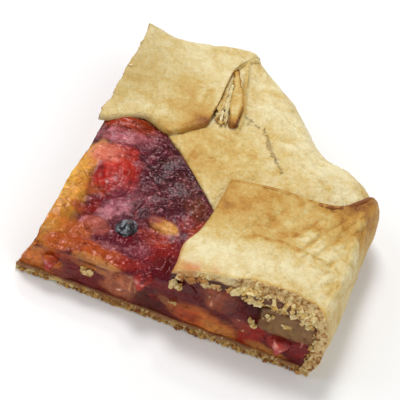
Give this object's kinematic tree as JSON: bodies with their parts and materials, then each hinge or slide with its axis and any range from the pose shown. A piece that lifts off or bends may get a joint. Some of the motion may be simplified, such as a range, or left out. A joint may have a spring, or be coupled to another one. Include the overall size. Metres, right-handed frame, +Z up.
{
  "type": "cranberry apple pie slice",
  "caption": "Quarter of a free-form pie: a pastry base and rim folded over a glossy cranberry and apple filling that lies open at the tip and shows at both straight cuts.",
  "frame": {"origin": "middle of the slice's bounding box, on the surface that it stands on", "axes": "+Z up; +X along the front cut, from the pie's middle towards its rim; +Y back along the left cut"},
  "size_m": [0.1274, 0.1372, 0.0374],
  "materials": {
    "dough": "baked pastry, dull, with browned edges",
    "jelly": "cranberry jelly, dark red, glossy and a little see-through",
    "gold_apple": "cooked apple, golden, wet",
    "amber_apple": "cooked apple, amber brown, wet",
    "red_apple": "cooked apple, stained red, wet",
    "olive_apple": "cooked apple, olive brown, wet",
    "cranberry": "cooked cranberry, dark red, wet",
    "dark_berry": "dark blue-grey berry, satin"
  },
  "bodies": {
    "root": {"crust": "dough", "filling": "jelly", "dark_berry": "dark_berry", "apple_bit_gold": "gold_apple", "apple_slice_gold": "gold_apple", "apple_slice_cut_low": "gold_apple", "apple_slice_left_low": "gold_apple", "apple_slice_left_floor": "gold_apple", "apple_strip_back": "amber_apple", "apple_slice_front": "amber_apple", "apple_chunk_cut_left": "amber_apple", "apple_chunk_cut_middle": "amber_apple", "apple_slice_cut_floor": "amber_apple", "apple_slice_tip": "amber_apple", "apple_chunk_left_far": "amber_apple", "apple_slice_red": "red_apple", "apple_chunk_cut_right": "olive_apple", "cranberry_top_pale": "cranberry", "cranberry_top_back": "cranberry", "cranberry_drip_left": "cranberry", "cranberry_drip_middle": "cranberry", "cranberry_cut_red": "cranberry", "cranberry_cut_right": "cranberry", "cranberry_cut_streak": "cranberry", "cranberry_cut_left": "cranberry", "cranberry_cut_middle": "cranberry", "cranberry_left_near": "cranberry", "cranberry_left_middle": "cranberry", "cranberry_left_far": "cranberry"}
  },
  "joints": []
}
